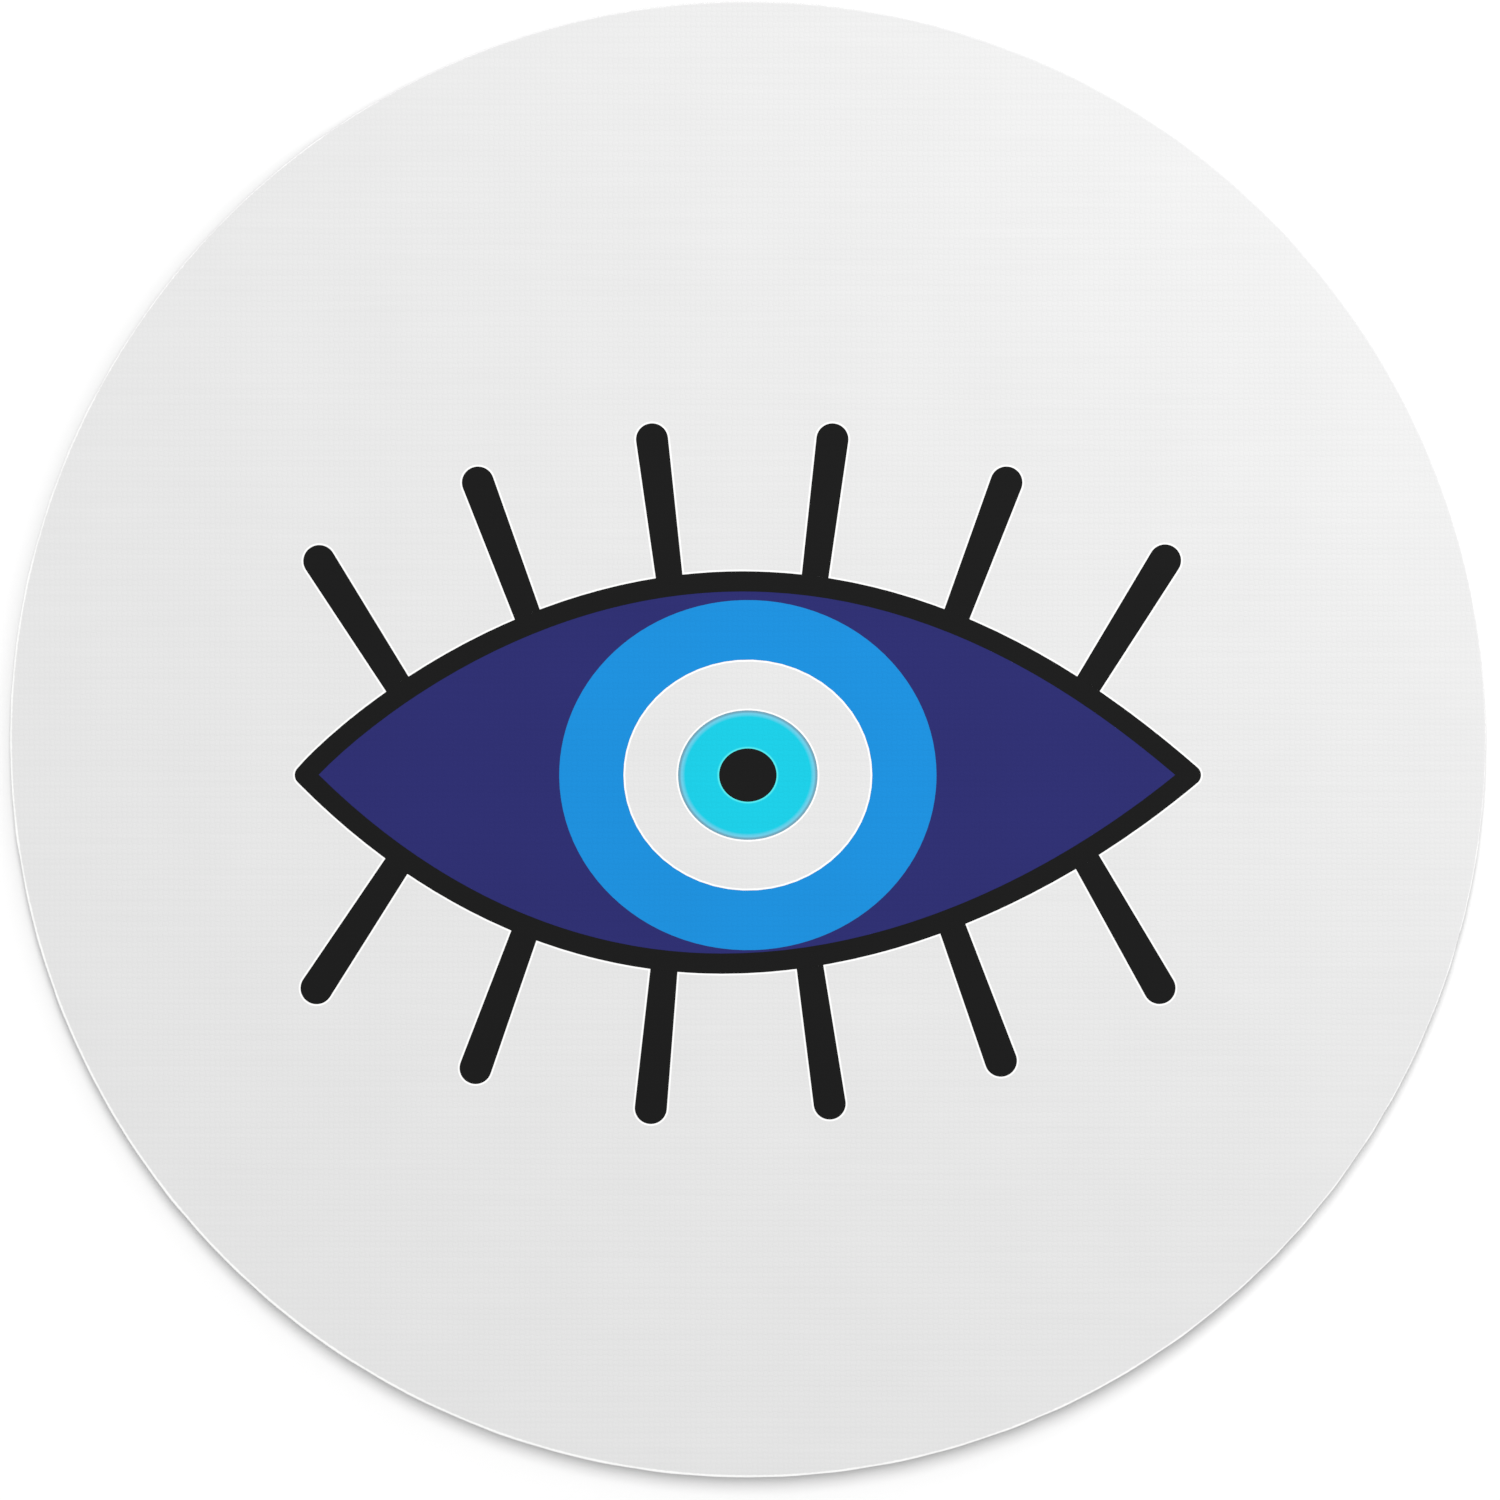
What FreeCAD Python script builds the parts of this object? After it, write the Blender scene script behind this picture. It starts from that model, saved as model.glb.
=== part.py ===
"""A round desk pad: a foam rubber base, an adhesive film and a white cloth top that is printed with an eye.

Units are millimetres. The origin is the middle of the underside, +Z is up through the cloth, and +Y is the top
of the print. Each colour of the print is dye that has sunk a little way into the cloth. It is a solid of its
own, flush with the cloth's top and lying in a pocket of the cloth that has exactly its shape.
"""

import FreeCAD
import Part
import math
import os

# Pad
PAD_DIAMETER = 200.0
RUBBER_THICKNESS = 2.4
FILM_THICKNESS = 0.1
CLOTH_THICKNESS = 0.5
CLOTH_EDGE_ROUND = 0.15  # the die rolls the cloth's top edge over by this much
DYE_DEPTH = 0.15

# Iris: flattened rings about the eye's centre, each given by its width
EYE_CENTRE_Y = -4.8
IRIS_FLATTENING = 0.928  # height over width of every ring, and over 1 for upright rings
IRIS_WIDTH = 51.1
WHITE_RING_WIDTH = 33.7  # the undyed cloth inside the iris ring
DISC_WIDTH = 17.4
HALO_BAND = 0.75  # the pale ring round the disc
PUPIL_WIDTH = 7.8

# Lids: the outline of the eye
EYE_WIDTH = 120.0  # corner to corner, on the middle of the line
OUTLINE_WIDTH = 2.75
UPPER_LID_GAP = 1.15  # from the iris to the line, at the eye's middle
LOWER_LID_GAP = 0.45

# Each lid is two Bezier curves that meet, level, at its crown. Handles are shares of half the eye's width and
# of the lid's rise, so the lid keeps its shape at any size.
#             crown    crown handles      left corner handle  right corner handle
LID_SHAPES = {
    "upper": (-0.013, (-0.537, 0.442), (0.058, 0.160), (-0.227, 0.452)),
    "lower": (-0.058, (-0.431, 0.407), (0.190, 0.455), (-0.273, 0.537)),
}

# Lashes: straight strokes that widen to a round tip. Each has its root's place as a share of half the eye's
# width, and its lean to the right of straight up (upper) or straight down (lower), in degrees.
LASH_LENGTH = 20.0  # from the lid's line to the middle of the round tip, for a lash at the eye's middle
LASH_CORNER_EXTRA = 1.8  # how much longer a lash at the very corner would be
LASH_ROOT_WIDTH = 3.6
LASH_TIP_WIDTH = 4.35
LASHES = {
    "upper": ((-0.779, -32.4), (-0.490, -20.5), (-0.175, -7.1), (0.149, 7.2), (0.464, 20.6), (0.757, 31.8)),
    "lower": ((-0.781, -33.2), (-0.498, -20.0), (-0.187, -5.5), (0.137, 8.2), (0.455, 20.0), (0.755, 29.8)),
}

# Levels and places that follow
FILM_BOTTOM = RUBBER_THICKNESS
CLOTH_BOTTOM = FILM_BOTTOM + FILM_THICKNESS
CLOTH_TOP = CLOTH_BOTTOM + CLOTH_THICKNESS
DYE_BOTTOM = CLOTH_TOP - DYE_DEPTH
EYE_CENTRE = FreeCAD.Vector(0, EYE_CENTRE_Y, DYE_BOTTOM)
HALF_EYE = EYE_WIDTH / 2
HALF_LINE = OUTLINE_WIDTH / 2
IRIS_RISE = IRIS_FLATTENING * IRIS_WIDTH / 2
LID_RISES = {
    "upper": IRIS_RISE + UPPER_LID_GAP + HALF_LINE,
    "lower": -(IRIS_RISE + LOWER_LID_GAP + HALF_LINE),
}
UP = FreeCAD.Vector(0, 0, 1)


def eye_point(x, y):
    """A point at the bottom of the dye, measured from the eye's centre."""
    return EYE_CENTRE + FreeCAD.Vector(x, y, 0)


def dyed(face):
    """The dye under a flat face: from the bottom of the dye up to the cloth's top."""
    return face.extrude(UP * DYE_DEPTH)


def layer(bottom, thickness):
    """One round layer of the pad."""
    return Part.makeCylinder(PAD_DIAMETER / 2, thickness, FreeCAD.Vector(0, 0, bottom))


def ring_face(width):
    """A filled flattened ring of the iris."""
    across = width / 2
    upright = IRIS_FLATTENING * across
    ellipse = Part.Ellipse(EYE_CENTRE, max(across, upright), min(across, upright))
    if upright > across:
        ellipse.AngleXU = math.pi / 2
    return Part.Face(Part.Wire(ellipse.toShape()))


def bezier(*points):
    """A Bezier edge through places measured from the eye's centre."""
    curve = Part.BezierCurve()
    curve.setPoles([eye_point(x, y) for x, y in points])
    return curve.toShape()


def lid(side):
    """The middle of a lid's line, from the left corner to the right, as two edges."""
    crown_share, crown_handles, left_handle, right_handle = LID_SHAPES[side]
    rise = LID_RISES[side]
    crown = HALF_EYE * crown_share
    left_half = bezier(
        (-HALF_EYE, 0),
        (HALF_EYE * (left_handle[0] - 1), rise * left_handle[1]),
        (crown + HALF_EYE * crown_handles[0], rise),
        (crown, rise),
    )
    right_half = bezier(
        (crown, rise),
        (crown + HALF_EYE * crown_handles[1], rise),
        (HALF_EYE * (right_handle[0] + 1), rise * right_handle[1]),
        (HALF_EYE, 0),
    )
    return [left_half, right_half]


def lash(side, root_share, lean):
    """A lash, whose root lies on the middle of its lid's line."""
    root_x = HALF_EYE * root_share
    upright = Part.makeLine(eye_point(root_x, 0), eye_point(root_x, 2 * LID_RISES[side]))
    root = Part.Wire(lid(side)).distToShape(upright)[1][0][0]
    turn = math.radians(lean)
    outward = math.copysign(1, LID_RISES[side])
    along = FreeCAD.Vector(math.sin(turn), outward * math.cos(turn), 0)
    across = along.cross(UP)
    length = LASH_LENGTH + LASH_CORNER_EXTRA * root_share**2
    tip = root + along * length
    root_radius = LASH_ROOT_WIDTH / 2
    tip_radius = LASH_TIP_WIDTH / 2
    # The straight sides touch the round tip, so they leave it a little behind its widest place.
    back = (tip_radius - root_radius) / length
    right = across * math.sqrt(1 - back**2) - along * back
    left = across * -math.sqrt(1 - back**2) - along * back
    outline = Part.Wire(
        [
            Part.makeLine(root + right * root_radius, tip + right * tip_radius),
            Part.Arc(tip + right * tip_radius, tip + along * tip_radius, tip + left * tip_radius).toShape(),
            Part.makeLine(tip + left * tip_radius, root + left * root_radius),
            Part.makeLine(root + left * root_radius, root + right * root_radius),
        ]
    )
    return dyed(Part.Face(outline))


def eye_face(grown):
    """The eye's opening, with its edge moved outwards from the middle of the line."""
    opening = Part.Face(Part.Wire(lid("upper") + lid("lower")[::-1]))
    edge = opening.makeOffset2D(grown).OuterWire.toNurbs()
    return Part.Face(Part.Wire(edge.Edges))


def printed_eye():
    """Every colour of the print, as a dictionary of node name to solid."""
    line_outside = dyed(eye_face(HALF_LINE))
    line_inside = dyed(eye_face(-HALF_LINE))
    iris = dyed(ring_face(IRIS_WIDTH))
    white_ring = dyed(ring_face(WHITE_RING_WIDTH))
    halo = dyed(ring_face(DISC_WIDTH + 2 * HALO_BAND))
    disc = dyed(ring_face(DISC_WIDTH))
    pupil = dyed(ring_face(PUPIL_WIDTH))
    dyes = {
        "eye_outline": line_outside.cut(line_inside),
        "eye_field": line_inside.cut(iris),
        "iris_ring": iris.cut(white_ring),
        "iris_halo": halo.cut(disc),
        "iris_disc": disc.cut(pupil),
        "pupil": pupil,
    }
    for side, lashes in LASHES.items():
        for number, (root_share, lean) in enumerate(lashes, start=1):
            dyes[f"{side}_lash_{number}"] = lash(side, root_share, lean).cut(line_outside)
    return dyes


def cloth_top(dyes):
    """The white cloth, with its rolled top edge and a pocket for each dye."""
    cloth = layer(CLOTH_BOTTOM, CLOTH_THICKNESS)
    top_edge = [edge for edge in cloth.Edges if edge.BoundBox.ZMin > CLOTH_BOTTOM + CLOTH_THICKNESS / 2]
    cloth = cloth.makeFillet(CLOTH_EDGE_ROUND, top_edge)
    return cloth.cut(list(dyes)).removeSplitter()


def main():
    dyes = printed_eye()
    nodes = {
        "rubber_base": layer(0, RUBBER_THICKNESS),
        "adhesive_film": layer(FILM_BOTTOM, FILM_THICKNESS),
        "cloth_top": cloth_top(dyes.values()),
        **dyes,
    }
    os.makedirs("parts", exist_ok=True)
    for name, shape in nodes.items():
        shape.exportStep(f"parts/{name}.step")


main()
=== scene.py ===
"""A round desk pad with a printed eye: a foam base, a glue film and a white cloth top with dyed shapes.

The pad lies flat with its underside on the ground and the top of its print towards +Y. Its three layers were
cut through together by one round die, so they share one slightly uneven edge. The dyed shapes are the frame's
own nodes. The three layers are made here, because the frame's layers have no cut edge, roll or emboss.
"""
import math

import bmesh
import bpy
from bpy.props import FloatProperty, FloatVectorProperty, PointerProperty
from mathutils import Matrix, Vector, noise


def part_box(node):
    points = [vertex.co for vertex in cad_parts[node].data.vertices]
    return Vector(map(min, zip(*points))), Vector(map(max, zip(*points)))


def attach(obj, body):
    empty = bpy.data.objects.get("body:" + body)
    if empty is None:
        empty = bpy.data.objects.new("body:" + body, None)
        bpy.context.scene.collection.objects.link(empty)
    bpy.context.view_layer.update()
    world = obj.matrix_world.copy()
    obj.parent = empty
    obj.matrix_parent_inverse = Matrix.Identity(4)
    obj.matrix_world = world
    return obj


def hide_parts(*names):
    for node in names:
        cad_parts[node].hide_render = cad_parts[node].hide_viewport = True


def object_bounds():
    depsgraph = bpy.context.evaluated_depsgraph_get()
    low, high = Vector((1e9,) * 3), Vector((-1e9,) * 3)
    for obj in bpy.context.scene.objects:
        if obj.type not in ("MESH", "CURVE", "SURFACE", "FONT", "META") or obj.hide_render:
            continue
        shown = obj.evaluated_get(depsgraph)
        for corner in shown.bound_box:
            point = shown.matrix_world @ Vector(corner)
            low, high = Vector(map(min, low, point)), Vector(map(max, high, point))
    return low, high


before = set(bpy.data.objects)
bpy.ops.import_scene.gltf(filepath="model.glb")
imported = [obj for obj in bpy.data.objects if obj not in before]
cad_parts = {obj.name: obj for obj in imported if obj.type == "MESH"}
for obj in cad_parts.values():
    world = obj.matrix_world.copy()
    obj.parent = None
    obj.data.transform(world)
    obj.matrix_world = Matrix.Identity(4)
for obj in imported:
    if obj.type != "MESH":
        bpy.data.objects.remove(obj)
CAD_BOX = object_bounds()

bl_info = {
    "name": "Printed Eye Desk Pad",
    "version": (1, 0, 0),
    "blender": (4, 5, 0),
    "location": "View3D > Sidebar > Desk Pad",
    "description": "Builds the layers, the print and the studio of a round desk pad around its frame",
    "category": "Add Mesh",
}

MM = 0.001                       # metres
BODY = "root"

PAD_RADIUS = CAD_BOX[1].x
FOAM_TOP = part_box("rubber_base")[1].z
FILM_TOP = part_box("adhesive_film")[1].z
CLOTH_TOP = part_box("cloth_top")[1].z

LASHES = [f"{side}_lash_{number}" for side in ("upper", "lower") for number in range(1, 7)]
BLACK_NODES = ["eye_outline", "pupil", *LASHES]

RIM_STEPS = 1440                 # pieces of the die-cut circle, each 0.44 mm long
SMOOTH_ANGLE = math.radians(25)  # edges sharper than this stay crisp
BARE_SLOT = 1                    # the cloth's second finish, after its tinted ground


def linear(code):
    """An sRGB hex colour as linear red, green and blue."""
    channels = [int(code[place : place + 2], 16) / 255 for place in (1, 3, 5)]
    return [c / 12.92 if c <= 0.04045 else ((c + 0.055) / 1.055) ** 2.4 for c in channels]


# ---------------------------------------------------------------- what a user would change


class DeskPadSizes(bpy.types.PropertyGroup):
    """Sizes that the frame leaves open, from the cut edge to the threads"""

    cut_waver: FloatProperty(
        name="Cut waver",
        description="How far the die-cut edge wanders in from a true circle",
        default=0.15 * MM,
        subtype="DISTANCE",
    )
    cut_hollow: FloatProperty(
        name="Cut hollow",
        description="How far the foam's cut wall springs in at half its height",
        default=0.14 * MM,
        subtype="DISTANCE",
    )
    roll_width: FloatProperty(
        name="Edge roll width",
        description="How far in from the edge the die has rolled the cloth down",
        default=0.22 * MM,
        subtype="DISTANCE",
    )
    roll_drop: FloatProperty(
        name="Edge roll drop",
        description="How far down the cloth's top is rolled at its edge",
        default=0.06 * MM,
        subtype="DISTANCE",
    )
    emboss_pitch: FloatProperty(
        name="Emboss pitch",
        description="Spacing of the crossed grooves that are moulded into the underside",
        default=2.5 * MM,
        subtype="DISTANCE",
    )
    groove_width: FloatProperty(
        name="Groove width",
        description="Width of a moulded groove at its mouth",
        default=0.8 * MM,
        subtype="DISTANCE",
    )
    groove_depth: FloatProperty(
        name="Groove depth",
        description="Depth of a moulded groove",
        default=0.25 * MM,
        subtype="DISTANCE",
    )
    bare_gap: FloatProperty(
        name="Bare gap",
        description="Width of the hairline of bare cloth between the tinted ground and each dyed shape",
        default=0.24 * MM,
        subtype="DISTANCE",
    )
    thread_pitch: FloatProperty(
        name="Thread pitch",
        description="Spacing of the threads as they are drawn, which is twice the real spacing",
        default=0.7 * MM,
        subtype="DISTANCE",
    )
    print_radius: FloatProperty(
        name="Print radius",
        description="Radius of the tinted ground, outside which the cloth is bare",
        default=99.8 * MM,
        subtype="DISTANCE",
    )


class DeskPadColours(bpy.types.PropertyGroup):
    """Colours of the layers and dyes"""

    ground: FloatVectorProperty(
        name="Ground", description="Tinted ground of the print", default=linear("#DADADA"), subtype="COLOR"
    )
    # bare cut cloth, which is also the painted highlight where the rim's bare band widens low and left
    bare_cloth_and_rim_highlight: FloatVectorProperty(
        name="Bare cloth",
        description="Cloth past the print's edge",
        default=linear("#F6F6F5"),
        subtype="COLOR",
    )
    black: FloatVectorProperty(
        name="Black", description="Outline, lashes and pupil", default=linear("#151515"), subtype="COLOR"
    )
    navy: FloatVectorProperty(
        name="Navy", description="Eye field", default=linear("#28296A"), subtype="COLOR"
    )
    azure: FloatVectorProperty(
        name="Azure", description="Outer iris ring", default=linear("#1587D0"), subtype="COLOR"
    )
    cyan: FloatVectorProperty(
        name="Cyan", description="Iris disc", default=linear("#13C2D9"), subtype="COLOR"
    )
    bright_cyan: FloatVectorProperty(
        name="Bright cyan",
        description="Thin dye beside the pupil",
        default=linear("#52E2E6"),
        subtype="COLOR",
    )
    pale_blue: FloatVectorProperty(
        name="Pale blue", description="Soft rim of the iris disc", default=linear("#66C2DB"), subtype="COLOR"
    )
    slate_blue: FloatVectorProperty(
        name="Slate blue",
        description="Outermost line of the soft rim",
        default=linear("#699DB1"),
        subtype="COLOR",
    )
    foam: FloatVectorProperty(
        name="Foam rubber", description="Base of the pad", default=linear("#262627"), subtype="COLOR"
    )
    glue: FloatVectorProperty(
        name="Glue", description="Film between foam and cloth", default=linear("#D9D4C4"), subtype="COLOR"
    )


# ---------------------------------------------------------------- shapes


def die_cut(place, waver):
    """How far in from the true circle the cut edge stands at a place on the rim, alike in all the layers."""
    slow_waves, quick_waves = 7.0, 24.0
    mean_share, slow_share, quick_share = 0.4, 0.25, 0.5
    quick_start = Vector((3.1, 0, 0))
    around = place.xy.normalized().to_3d()
    slow = noise.noise(around * slow_waves)
    quick = noise.noise(around * quick_waves + quick_start)
    return waver * max(0, mean_share + slow_share * slow + quick_share * quick)


def ragged(mesh, sizes, grain, depth, seed):
    """Pulls a turned solid's wall in to the die-cut edge, and roughens it with bumps of a grain and depth."""
    for vert in mesh.verts:
        bumps = noise.noise(vert.co / grain + Vector((seed, 0, 0)))
        inset = die_cut(vert.co, sizes.cut_waver) + depth * (0.5 + 0.5 * bumps)
        vert.co -= vert.co.xy.normalized().to_3d() * inset


def turned(profile):
    """A closed round solid from the (radius, height) points of its side, listed from the bottom up."""
    mesh = bmesh.new()
    low_radius, low_height = profile[0]
    bmesh.ops.create_circle(
        mesh, segments=RIM_STEPS, radius=low_radius, matrix=Matrix.Translation((0, 0, low_height))
    )
    ring = mesh.edges[:]
    for radius, height in profile[1:]:
        made = bmesh.ops.extrude_edge_only(mesh, edges=ring)["geom"]
        verts = {part for part in made if isinstance(part, bmesh.types.BMVert)}
        for vert in verts:
            vert.co = vert.co.xy.normalized().to_3d() * radius + Vector((0, 0, height))
        edges = [part for part in made if isinstance(part, bmesh.types.BMEdge)]
        ring = [edge for edge in edges if verts.issuperset(edge.verts)]
    bmesh.ops.holes_fill(mesh, edges=[edge for edge in mesh.edges if edge.is_boundary], sides=0)
    bmesh.ops.recalc_face_normals(mesh, faces=mesh.faces[:])
    return mesh


def as_object(name, mesh):
    """A new object of a finished bmesh."""
    data = bpy.data.meshes.new(name)
    mesh.to_mesh(data)
    mesh.free()
    made = bpy.data.objects.new(name, data)
    bpy.context.scene.collection.objects.link(made)
    return made


def cut_to(piece, outline):
    """Cuts a piece to the part of it that is inside the outline object, and removes the outline."""
    cut = piece.modifiers.new("die_cut", "BOOLEAN")
    cut.operation = "INTERSECT"
    cut.solver = "EXACT"
    cut.object = outline
    shaped = bpy.data.meshes.new_from_object(piece.evaluated_get(bpy.context.evaluated_depsgraph_get()))
    piece.modifiers.remove(cut)
    old = piece.data
    piece.data = shaped
    bpy.data.meshes.remove(old)
    bpy.data.objects.remove(outline)
    shaped.name = piece.name


def smooth_between_creases(piece):
    """Clears a piece's specks and shades it smooth, apart from its sharp edges and level faces' borders."""
    speck = 0.0005 * MM
    upright = 0.99999  # a level face's normal stands at least this upright
    mesh = bmesh.new()
    mesh.from_mesh(piece.data)
    bmesh.ops.dissolve_degenerate(mesh, edges=mesh.edges[:], dist=speck)
    for face in mesh.faces:
        face.smooth = True
    for edge in mesh.edges:
        level = [abs(face.normal.z) > upright for face in edge.link_faces]
        edge.smooth = edge.calc_face_angle(0) < SMOOTH_ANGLE and len(set(level)) == 1
    mesh.to_mesh(piece.data)
    mesh.free()


def embossed_slab(sizes):
    """A foam slab, larger than the pad all round, with crossed grooves moulded into its underside."""
    pitch = sizes.emboss_pitch
    mesh = bmesh.new()
    count = math.ceil(2 * (PAD_RADIUS + pitch) / pitch)
    turned_place = Matrix.Translation((0, 0, sizes.groove_depth)) @ Matrix.Rotation(math.radians(45), 4, "Z")
    bmesh.ops.create_grid(
        mesh, x_segments=count, y_segments=count, size=count * pitch / 2, matrix=turned_place
    )
    outside = [f for f in mesh.faces if min(v.co.xy.length for v in f.verts) > PAD_RADIUS + pitch / 4]
    bmesh.ops.delete(mesh, geom=outside, context="FACES")
    bmesh.ops.reverse_faces(mesh, faces=mesh.faces[:])
    bmesh.ops.inset_individual(
        mesh,
        faces=mesh.faces[:],
        thickness=sizes.groove_width / 2,
        depth=sizes.groove_depth,
        use_even_offset=True,
    )
    rim = [edge for edge in mesh.edges if edge.is_boundary]
    raised = bmesh.ops.extrude_edge_only(mesh, edges=rim)["geom"]
    for vert in raised:
        if isinstance(vert, bmesh.types.BMVert):
            vert.co.z = FOAM_TOP
    bmesh.ops.holes_fill(mesh, edges=[edge for edge in mesh.edges if edge.is_boundary], sides=0)
    bmesh.ops.recalc_face_normals(mesh, faces=mesh.faces[:])
    return as_object("foam_base", mesh)


def foam_outline(sizes):
    """The die's cut through the foam: a round solid whose wall springs in at half height."""
    rows = 12
    past = 1 * MM
    wall = []
    for row in range(rows + 1):
        share = row / rows
        wall.append((PAD_RADIUS - sizes.cut_hollow * 4 * share * (1 - share), FOAM_TOP * share))
    mesh = turned([(PAD_RADIUS, -past), *wall, (PAD_RADIUS, FOAM_TOP + past)])
    ragged(mesh, sizes, grain=0.7 * MM, depth=0.04 * MM, seed=1)
    return as_object("foam_outline", mesh)


def cloth_outline(sizes):
    """The die's cut through the cloth: a round solid whose top edge is rolled down."""
    steps = 6
    past = 1 * MM
    profile = [(PAD_RADIUS, FILM_TOP - past), (PAD_RADIUS, FILM_TOP)]
    inner = PAD_RADIUS - sizes.roll_width
    for step in range(steps + 1):
        angle = math.pi / 2 * step / steps
        radius = inner + sizes.roll_width * math.cos(angle)
        profile.append((radius, CLOTH_TOP - sizes.roll_drop * (1 - math.sin(angle))))
    mesh = turned([*profile, (inner, CLOTH_TOP + past)])
    ragged(mesh, sizes, grain=0.5 * MM, depth=0.03 * MM, seed=9)
    return as_object("cloth_outline", mesh)


def pocketed_cloth(sizes):
    """The frame's cloth and its dye pockets, with a bare hairline round each and its rim out past the die."""
    same_place = 0.001 * MM
    short_edge = 0.08 * MM
    past_die = 1 * MM
    near_top = CLOTH_TOP - same_place
    mesh = bmesh.new()
    mesh.from_mesh(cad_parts["cloth_top"].data)
    bmesh.ops.remove_doubles(mesh, verts=mesh.verts[:], dist=same_place)
    # a shorter edge than this, beside a lash's root, would turn inside out when the hairline is drawn
    level = [v for v in mesh.verts if v.co.z > near_top and v.co.xy.length < PAD_RADIUS - past_die]
    bmesh.ops.remove_doubles(mesh, verts=level, dist=short_edge)
    # the merging leaves a loose fin where a wall's two triangles have come to lie on each other
    fins = [face for face in mesh.faces if any(edge.is_boundary for edge in face.edges)]
    bmesh.ops.delete(mesh, geom=fins, context="FACES")
    upper = [face for face in mesh.faces if min(vert.co.z for vert in face.verts) > near_top]
    hairlines = bmesh.ops.inset_region(
        mesh, faces=upper, thickness=sizes.bare_gap, use_boundary=True, use_even_offset=True
    )["faces"]
    for face in hairlines:
        face.material_index = BARE_SLOT
    for vert in mesh.verts:
        if vert.co.xy.length > PAD_RADIUS - past_die:
            vert.co += vert.co.xy.normalized().to_3d() * past_die
    return as_object("cloth_sheet", mesh)


# ---------------------------------------------------------------- finishes


def add_node(tree, kind, inputs=None, **settings):
    """Adds a node with its settings. Each input is given a value or is linked to another node's output."""
    node = tree.nodes.new(kind)
    for name, value in settings.items():
        setattr(node, name, value)
    for name, value in (inputs or {}).items():
        if isinstance(value, bpy.types.NodeSocket):
            tree.links.new(value, node.inputs[name])
        else:
            node.inputs[name].default_value = value
    return node


def new_finish(name):
    """A new material that has no shader nodes yet, and its node tree."""
    material = bpy.data.materials.new(name)
    material.use_nodes = True
    material.node_tree.nodes.clear()
    return material, material.node_tree


def set_finish(piece, material):
    """Makes a material the only one on a new piece."""
    piece.data.materials.clear()
    piece.data.materials.append(material)


def woven_height(tree, pitch):
    """Height of a plain weave from 0 to 1: at each crossing, either the warp or the weft thread is on top."""
    place = add_node(tree, "ShaderNodeTexCoord").outputs["Object"]
    drift = add_node(tree, "ShaderNodeTexNoise", {"Vector": place, "Scale": 1 / (6 * MM), "Detail": 1.0})
    # threads wander by about a sixth of their spacing, so the weave isn't a perfect grid
    wander = add_node(
        tree,
        "ShaderNodeVectorMath",
        {0: drift.outputs["Color"], 1: [pitch / 3] * 3, 2: place},
        operation="MULTIPLY_ADD",
    )
    axes = add_node(tree, "ShaderNodeSeparateXYZ", {"Vector": wander.outputs["Vector"]})
    waves = []
    for axis in ("X", "Y"):
        turns = add_node(
            tree, "ShaderNodeMath", {0: axes.outputs[axis], 1: math.pi / pitch}, operation="MULTIPLY"
        )
        waves.append(add_node(tree, "ShaderNodeMath", {0: turns.outputs[0]}, operation="SINE").outputs[0])
    crossing = add_node(tree, "ShaderNodeMath", {0: waves[0], 1: waves[1]}, operation="MULTIPLY")
    warp_on_top = add_node(
        tree,
        "ShaderNodeMapRange",
        {"Value": crossing.outputs[0], "From Min": -0.3, "From Max": 0.3},
        interpolation_type="SMOOTHSTEP",
    )
    warp, weft = [add_node(tree, "ShaderNodeMath", {0: w}, operation="ABSOLUTE").outputs[0] for w in waves]
    threads = add_node(tree, "ShaderNodeMix", {"Factor": warp_on_top.outputs[0], "A": weft, "B": warp})
    return place, threads.outputs["Result"]


def thread_shade(tree, place, threads):
    """How bright each spot of the cloth is beside its mean: the spaces between threads are darkened as
    painted shade, and weft threads vary a bit.
    """
    stretched = add_node(
        tree, "ShaderNodeMapping", {"Vector": place, "Scale": (1 / (25 * MM), 1 / (0.9 * MM), 1 / (25 * MM))}
    )
    streaks = add_node(
        tree, "ShaderNodeTexNoise", {"Vector": stretched.outputs[0], "Scale": 1.0, "Detail": 2.0}
    )
    blotches = add_node(tree, "ShaderNodeTexNoise", {"Vector": place, "Scale": 1 / (14 * MM), "Detail": 3.0})
    total = add_node(
        tree, "ShaderNodeMath", {0: streaks.outputs["Fac"], 1: blotches.outputs["Fac"]}, operation="ADD"
    )
    slow = add_node(
        tree,
        "ShaderNodeMapRange",
        {"Value": total.outputs[0], "From Min": 0.5, "From Max": 1.5, "To Min": 0.98, "To Max": 1.02},
    )
    # painted shade: the weave's low spaces are drawn darker than the raised threads
    painted_gap_shade = add_node(tree, "ShaderNodeMapRange", {"Value": threads, "To Min": 0.982, "To Max": 1.006})
    shade = add_node(
        tree, "ShaderNodeMath", {0: slow.outputs[0], 1: painted_gap_shade.outputs[0]}, operation="MULTIPLY"
    )
    return shade.outputs[0]


def cloth_shader(tree, place, threads, colour):
    """The surface of brushed polyester cloth: matt, with a trace of sheen, its threads raised as a bump."""
    fuzz = add_node(tree, "ShaderNodeTexNoise", {"Vector": place, "Scale": 1 / (0.25 * MM), "Detail": 2.0})
    raised = add_node(
        tree, "ShaderNodeMath", {0: fuzz.outputs["Fac"], 1: 0.25, 2: threads}, operation="MULTIPLY_ADD"
    )
    # brushed and pressed threads stand up only slightly, by 0.012 mm
    bump = add_node(
        tree, "ShaderNodeBump", {"Height": raised.outputs[0], "Strength": 1.0, "Distance": 0.012 * MM}
    )
    shader = add_node(
        tree,
        "ShaderNodeBsdfPrincipled",
        {
            "Base Color": colour,
            "Roughness": 0.85,
            "Specular IOR Level": 0.1,
            "Sheen Weight": 0.06,
            "Sheen Roughness": 0.5,
            "Normal": bump.outputs["Normal"],
        },
    )
    add_node(tree, "ShaderNodeOutputMaterial", {"Surface": shader.outputs["BSDF"]})


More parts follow.
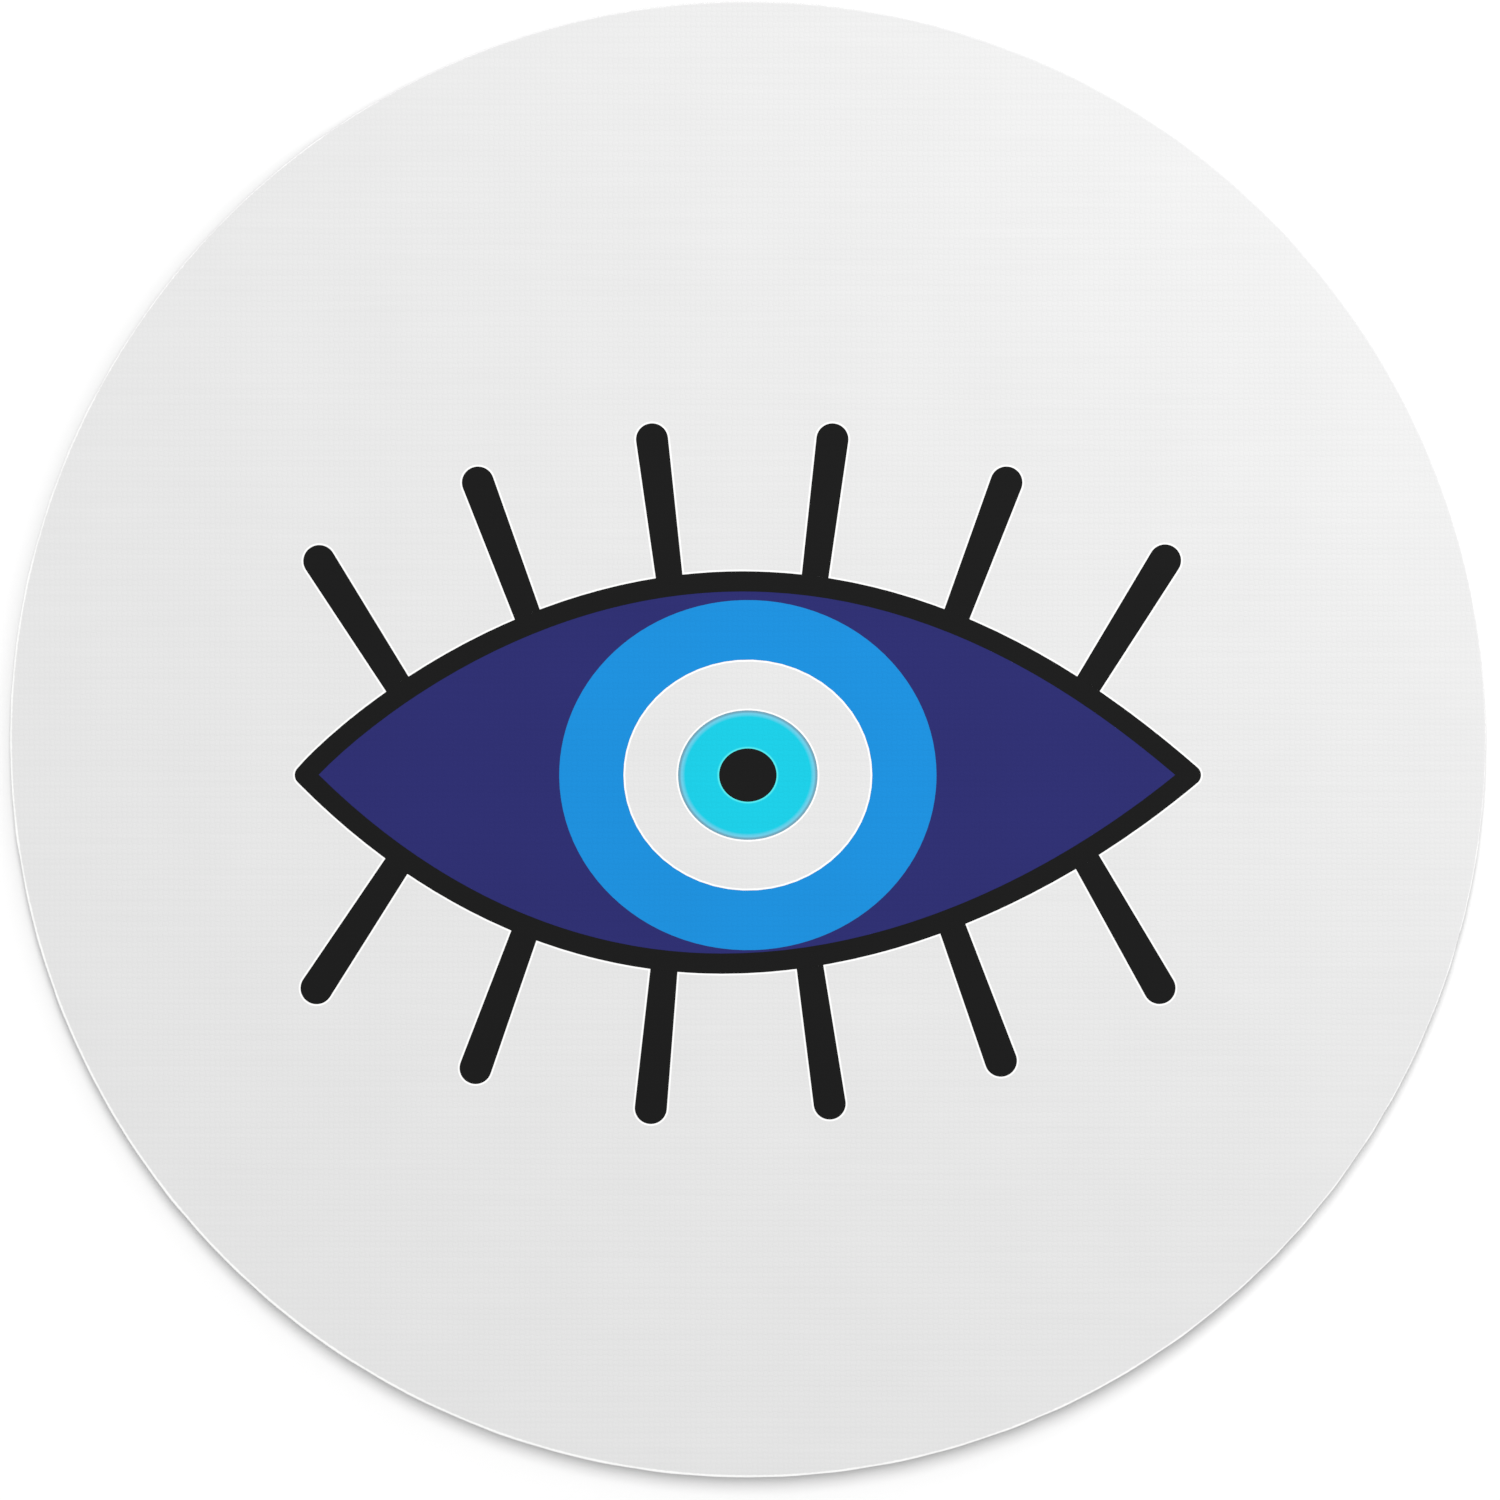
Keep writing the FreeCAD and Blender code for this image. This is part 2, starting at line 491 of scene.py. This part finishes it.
def shaded(tree, colour, shade):
    """A colour made brighter or darker by a shade of about 1."""
    brightness = add_node(tree, "ShaderNodeVectorMath", {0: colour, "Scale": shade}, operation="SCALE")
    return brightness.outputs["Vector"]


def dyed_cloth(name, colour, sizes):
    """Polyester cloth with sublimated dye, which is in the threads, so the weave shows in a flat colour, with
    painted shade between the threads.
    """
    material, tree = new_finish(name)
    place, threads = woven_height(tree, sizes.thread_pitch)
    shade = thread_shade(tree, place, threads)
    cloth_shader(tree, place, threads, shaded(tree, colour, shade))
    return material


def from_middle(tree, place, middle, reach):
    """Distance from a middle, as a share of the reach along each axis, so 1 is the ellipse's border."""
    centred = add_node(tree, "ShaderNodeVectorMath", {0: place, 1: middle}, operation="SUBTRACT")
    scaled = add_node(tree, "ShaderNodeVectorMath", {0: centred.outputs[0], 1: reach}, operation="DIVIDE")
    flat = add_node(tree, "ShaderNodeVectorMath", {0: scaled.outputs[0], 1: (1, 1, 0)}, operation="MULTIPLY")
    return add_node(tree, "ShaderNodeVectorMath", {0: flat.outputs[0]}, operation="LENGTH").outputs["Value"]


def printed_ground(colours, sizes):
    """White polyester cloth with a pale tint printed over it, which stops just short of the cut edge."""
    material, tree = new_finish("tinted_polyester_cloth")
    place, threads = woven_height(tree, sizes.thread_pitch)
    shade = thread_shade(tree, place, threads)
    # the tint is drawn a little up and to the right of the die, so the bright bare band is wider low and
    # left: a painted highlight along the lower-left rim
    painted_highlight_shift = (0.10 * MM, 0.16 * MM, 0)
    feather_reach = 0.16 * MM
    fade_width = 0.15 * MM
    away = from_middle(tree, place, painted_highlight_shift, (1, 1, 1))
    feather = add_node(tree, "ShaderNodeTexNoise", {"Vector": place, "Scale": 1 / (0.6 * MM), "Detail": 1.0})
    border = add_node(
        tree,
        "ShaderNodeMath",
        {0: feather.outputs["Fac"], 1: feather_reach, 2: away},
        operation="MULTIPLY_ADD",
    )
    # the band at the rim is partly real bare cloth and partly a painted highlight, wider low and left
    bare = add_node(
        tree,
        "ShaderNodeMapRange",
        {
            "Value": border.outputs[0],
            "From Min": sizes.print_radius,
            "From Max": sizes.print_radius + fade_width,
        },
    )
    tint = add_node(
        tree,
        "ShaderNodeMix",
        {"Factor": bare.outputs[0], "A": (*colours.ground, 1), "B": (*colours.bare_cloth_and_rim_highlight, 1)},
        data_type="RGBA",
    )
    cloth_shader(tree, place, threads, shaded(tree, tint.outputs["Result"], shade))
    return material


def soft_rim(name, colours, sizes):
    """Cyan dye whose rim has spread: it pales outwards and ends in a thin slate line."""
    material, tree = new_finish(name)
    place, threads = woven_height(tree, sizes.thread_pitch)
    shade = thread_shade(tree, place, threads)
    low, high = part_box("iris_halo")
    away = from_middle(tree, place, (low + high) / 2, (high - low) / 2)
    ramp = add_node(tree, "ShaderNodeValToRGB", {"Fac": away})
    # as shares of the rim's outer radius: beside the pupil, the disc, and the band that pales, then greys
    stops = (
        (0.422, colours.bright_cyan),
        (0.445, colours.cyan),
        (0.9, colours.cyan),
        (0.945, colours.pale_blue),
        (0.955, colours.pale_blue),
        (0.976, colours.slate_blue),
    )
    band = ramp.color_ramp
    for number, (share, colour) in enumerate(stops):
        stop = band.elements[number] if number < 2 else band.elements.new(share)
        stop.position = share
        stop.color = (*colour, 1)
    cloth_shader(tree, place, threads, shaded(tree, ramp.outputs["Color"], shade))
    return material


def foam_rubber(colours):
    """Natural rubber foam, blown and moulded: near black and matt, with fine pores whose pits are darkened as
    painted shade.
    """
    material, tree = new_finish("natural_rubber_foam")
    place = add_node(tree, "ShaderNodeTexCoord").outputs["Object"]
    # real pores are about 0.1 mm across, too fine to show, so they are drawn at 0.4 mm
    pores = add_node(
        tree, "ShaderNodeTexVoronoi", {"Vector": place, "Scale": 1 / (0.4 * MM)}, feature="SMOOTH_F1"
    )
    grime = add_node(tree, "ShaderNodeTexNoise", {"Vector": place, "Scale": 1 / (9 * MM), "Detail": 4.0})
    # painted shade: each pore is drawn darker towards its pit
    hollow = add_node(
        tree,
        "ShaderNodeMapRange",
        {"Value": pores.outputs["Distance"], "From Min": 0.1, "From Max": 0.5, "To Min": 0.6, "To Max": 1.0},
    )
    tone = add_node(
        tree, "ShaderNodeMapRange", {"Value": grime.outputs["Fac"], "To Min": 0.8, "To Max": 1.25}
    )
    shade = add_node(tree, "ShaderNodeMath", {0: hollow.outputs[0], 1: tone.outputs[0]}, operation="MULTIPLY")
    bump = add_node(
        tree, "ShaderNodeBump", {"Height": pores.outputs["Distance"], "Strength": 0.8, "Distance": 0.06 * MM}
    )
    shader = add_node(
        tree,
        "ShaderNodeBsdfPrincipled",
        {
            "Base Color": shaded(tree, (*colours.foam,), shade.outputs[0]),
            "Roughness": 0.78,
            "IOR": 1.52,
            "Specular IOR Level": 0.35,
            "Normal": bump.outputs["Normal"],
        },
    )
    add_node(tree, "ShaderNodeOutputMaterial", {"Surface": shader.outputs["BSDF"]})
    return material


def glue(colours):
    """Dried acrylic laminating glue: a cloudy film, glossier than the layers that it joins."""
    material, tree = new_finish("acrylic_glue_film")
    place = add_node(tree, "ShaderNodeTexCoord").outputs["Object"]
    cloud = add_node(tree, "ShaderNodeTexNoise", {"Vector": place, "Scale": 1 / (1.5 * MM), "Detail": 2.0})
    tone = add_node(
        tree, "ShaderNodeMapRange", {"Value": cloud.outputs["Fac"], "To Min": 0.75, "To Max": 1.1}
    )
    shader = add_node(
        tree,
        "ShaderNodeBsdfPrincipled",
        {"Base Color": shaded(tree, (*colours.glue,), tone.outputs[0]), "Roughness": 0.35, "IOR": 1.48},
    )
    add_node(tree, "ShaderNodeOutputMaterial", {"Surface": shader.outputs["BSDF"]})
    return material


# ---------------------------------------------------------------- operators


class DESKPAD_OT_foam_base(bpy.types.Operator):
    """Make the die-cut foam rubber base with its embossed underside"""

    bl_idname = "desk_pad.foam_base"
    bl_label = "Foam Base"

    def execute(self, context):
        sizes = context.scene.desk_pad_sizes
        base = embossed_slab(sizes)
        cut_to(base, foam_outline(sizes))
        smooth_between_creases(base)
        set_finish(base, foam_rubber(context.scene.desk_pad_colours))
        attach(base, BODY)
        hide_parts("rubber_base")
        return {"FINISHED"}


class DESKPAD_OT_glue_film(bpy.types.Operator):
    """Make the thin film of glue, which bulges a little at the cut edge"""

    bl_idname = "desk_pad.glue_film"
    bl_label = "Glue Film"

    def execute(self, context):
        sizes = context.scene.desk_pad_sizes
        bulge = 0.03 * MM
        steps = 4
        profile = []
        for step in range(steps + 1):
            angle = math.pi * (step / steps - 0.5)
            height = FOAM_TOP + (FILM_TOP - FOAM_TOP) * (0.5 + 0.5 * math.sin(angle))
            profile.append((PAD_RADIUS - bulge * (1 - math.cos(angle)), height))
        mesh = turned(profile)
        ragged(mesh, sizes, grain=1.3 * MM, depth=0.05 * MM, seed=5)
        film = as_object("glue_film", mesh)
        smooth_between_creases(film)
        set_finish(film, glue(context.scene.desk_pad_colours))
        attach(film, BODY)
        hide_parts("adhesive_film")
        return {"FINISHED"}


class DESKPAD_OT_cloth_sheet(bpy.types.Operator):
    """Make the white cloth with its dye pockets, its rolled and die-cut edge and its print tint"""

    bl_idname = "desk_pad.cloth_sheet"
    bl_label = "Cloth Sheet"

    def execute(self, context):
        sizes = context.scene.desk_pad_sizes
        colours = context.scene.desk_pad_colours
        cloth = pocketed_cloth(sizes)
        cloth.data.materials.append(printed_ground(colours, sizes))
        cloth.data.materials.append(dyed_cloth("bare_polyester_cloth", (*colours.bare_cloth_and_rim_highlight,), sizes))
        cut_to(cloth, cloth_outline(sizes))
        smooth_between_creases(cloth)
        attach(cloth, BODY)
        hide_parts("cloth_top")
        return {"FINISHED"}


class DESKPAD_OT_printed_eye(bpy.types.Operator):
    """Give each dyed shape of the print its colour of cloth"""

    bl_idname = "desk_pad.printed_eye"
    bl_label = "Printed Eye"

    def execute(self, context):
        sizes, colours = context.scene.desk_pad_sizes, context.scene.desk_pad_colours
        black = dyed_cloth("black_dyed_cloth", (*colours.black,), sizes)
        finishes = {name: black for name in BLACK_NODES}
        finishes["eye_field"] = dyed_cloth("navy_dyed_cloth", (*colours.navy,), sizes)
        finishes["iris_ring"] = dyed_cloth("azure_dyed_cloth", (*colours.azure,), sizes)
        finishes["iris_disc"] = soft_rim("cyan_dyed_cloth", colours, sizes)
        finishes["iris_halo"] = soft_rim("pale_blue_dyed_cloth", colours, sizes)
        for name, material in finishes.items():
            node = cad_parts[name]
            if not node.material_slots:
                node.data.materials.append(material)
            node.material_slots[0].material = material
        return {"FINISHED"}


class DESKPAD_OT_stage(bpy.types.Operator):
    """Set up the pale floor, the soft lights and the camera that looks straight down"""

    bl_idname = "desk_pad.stage"
    bl_label = "Stage"

    def execute(self, context):
        scene = context.scene
        half_floor = 6
        room_light = 0.48
        seen_width = 203.15 * MM
        beside, below = 0.29 * MM, -1.4 * MM  # how far the camera's aim is from the pad's middle
        mesh = bmesh.new()
        bmesh.ops.create_grid(mesh, x_segments=1, y_segments=1, size=half_floor)
        floor = as_object("floor", mesh)
        paper, tree = new_finish("white_paper")
        shader = add_node(
            tree,
            "ShaderNodeBsdfPrincipled",
            {"Base Color": (*linear("#FDFDFD"), 1), "Roughness": 0.9, "Specular IOR Level": 0.1},
        )
        add_node(tree, "ShaderNodeOutputMaterial", {"Surface": shader.outputs["BSDF"]})
        set_finish(floor, paper)

        world = bpy.data.worlds.new("white_room")
        world.use_nodes = True
        world.node_tree.nodes["Background"].inputs["Color"].default_value = (1, 1, 1, 1)
        world.node_tree.nodes["Background"].inputs["Strength"].default_value = room_light
        scene.world = world

        add_softbox("strip_softbox", place=(0.0, 0.33, 1.17), size=(0.28, 1.18), watts=10.4)
        add_softbox("side_softbox", place=(0.3, 0.24, 0.12), size=(0.08, 0.08), watts=0.5)

        camera = bpy.data.cameras.new("camera")
        camera.lens = 150
        camera.sensor_width = 36
        eye = bpy.data.objects.new("camera", camera)
        eye.location = (beside, below, CLOTH_TOP + seen_width * camera.lens / camera.sensor_width)
        camera.clip_start = 0.01
        camera.clip_end = 50
        scene.collection.objects.link(eye)
        scene.camera = eye
        scene.view_settings.view_transform = "Standard"
        return {"FINISHED"}


def add_softbox(name, place, size, watts):
    """A rectangular area light of a (width, length) at a place, facing the middle of the pad."""
    lamp = bpy.data.lights.new(name, "AREA")
    lamp.shape = "RECTANGLE"
    lamp.size, lamp.size_y = size
    lamp.energy = watts
    made = bpy.data.objects.new(name, lamp)
    made.visible_camera = False
    made.location = place
    made.rotation_euler = (-Vector(place)).to_track_quat("-Z", "Y").to_euler()
    bpy.context.scene.collection.objects.link(made)


class DESKPAD_PT_panel(bpy.types.Panel):
    """Lists the desk pad's steps, sizes and colours"""

    bl_idname = "DESKPAD_PT_panel"
    bl_label = "Desk Pad"
    bl_space_type = "VIEW_3D"
    bl_region_type = "UI"
    bl_category = "Desk Pad"

    def draw(self, context):
        layout = self.layout
        for step in STEPS:
            layout.operator(step.bl_idname)
        for group in (context.scene.desk_pad_sizes, context.scene.desk_pad_colours):
            box = layout.box()
            for name in group.__annotations__:
                box.prop(group, name)


STEPS = (
    DESKPAD_OT_stage,
    DESKPAD_OT_foam_base,
    DESKPAD_OT_glue_film,
    DESKPAD_OT_cloth_sheet,
    DESKPAD_OT_printed_eye,
)
CLASSES = (DeskPadSizes, DeskPadColours, *STEPS, DESKPAD_PT_panel)


def register():
    for cls in CLASSES:
        bpy.utils.register_class(cls)
    bpy.types.Scene.desk_pad_sizes = PointerProperty(type=DeskPadSizes)
    bpy.types.Scene.desk_pad_colours = PointerProperty(type=DeskPadColours)


def unregister():
    del bpy.types.Scene.desk_pad_colours
    del bpy.types.Scene.desk_pad_sizes
    for cls in reversed(CLASSES):
        bpy.utils.unregister_class(cls)


def main():
    register()
    bpy.ops.desk_pad.stage()
    bpy.ops.desk_pad.foam_base()
    bpy.ops.desk_pad.glue_film()
    bpy.ops.desk_pad.cloth_sheet()
    bpy.ops.desk_pad.printed_eye()


if __name__ == "__main__":
    main()
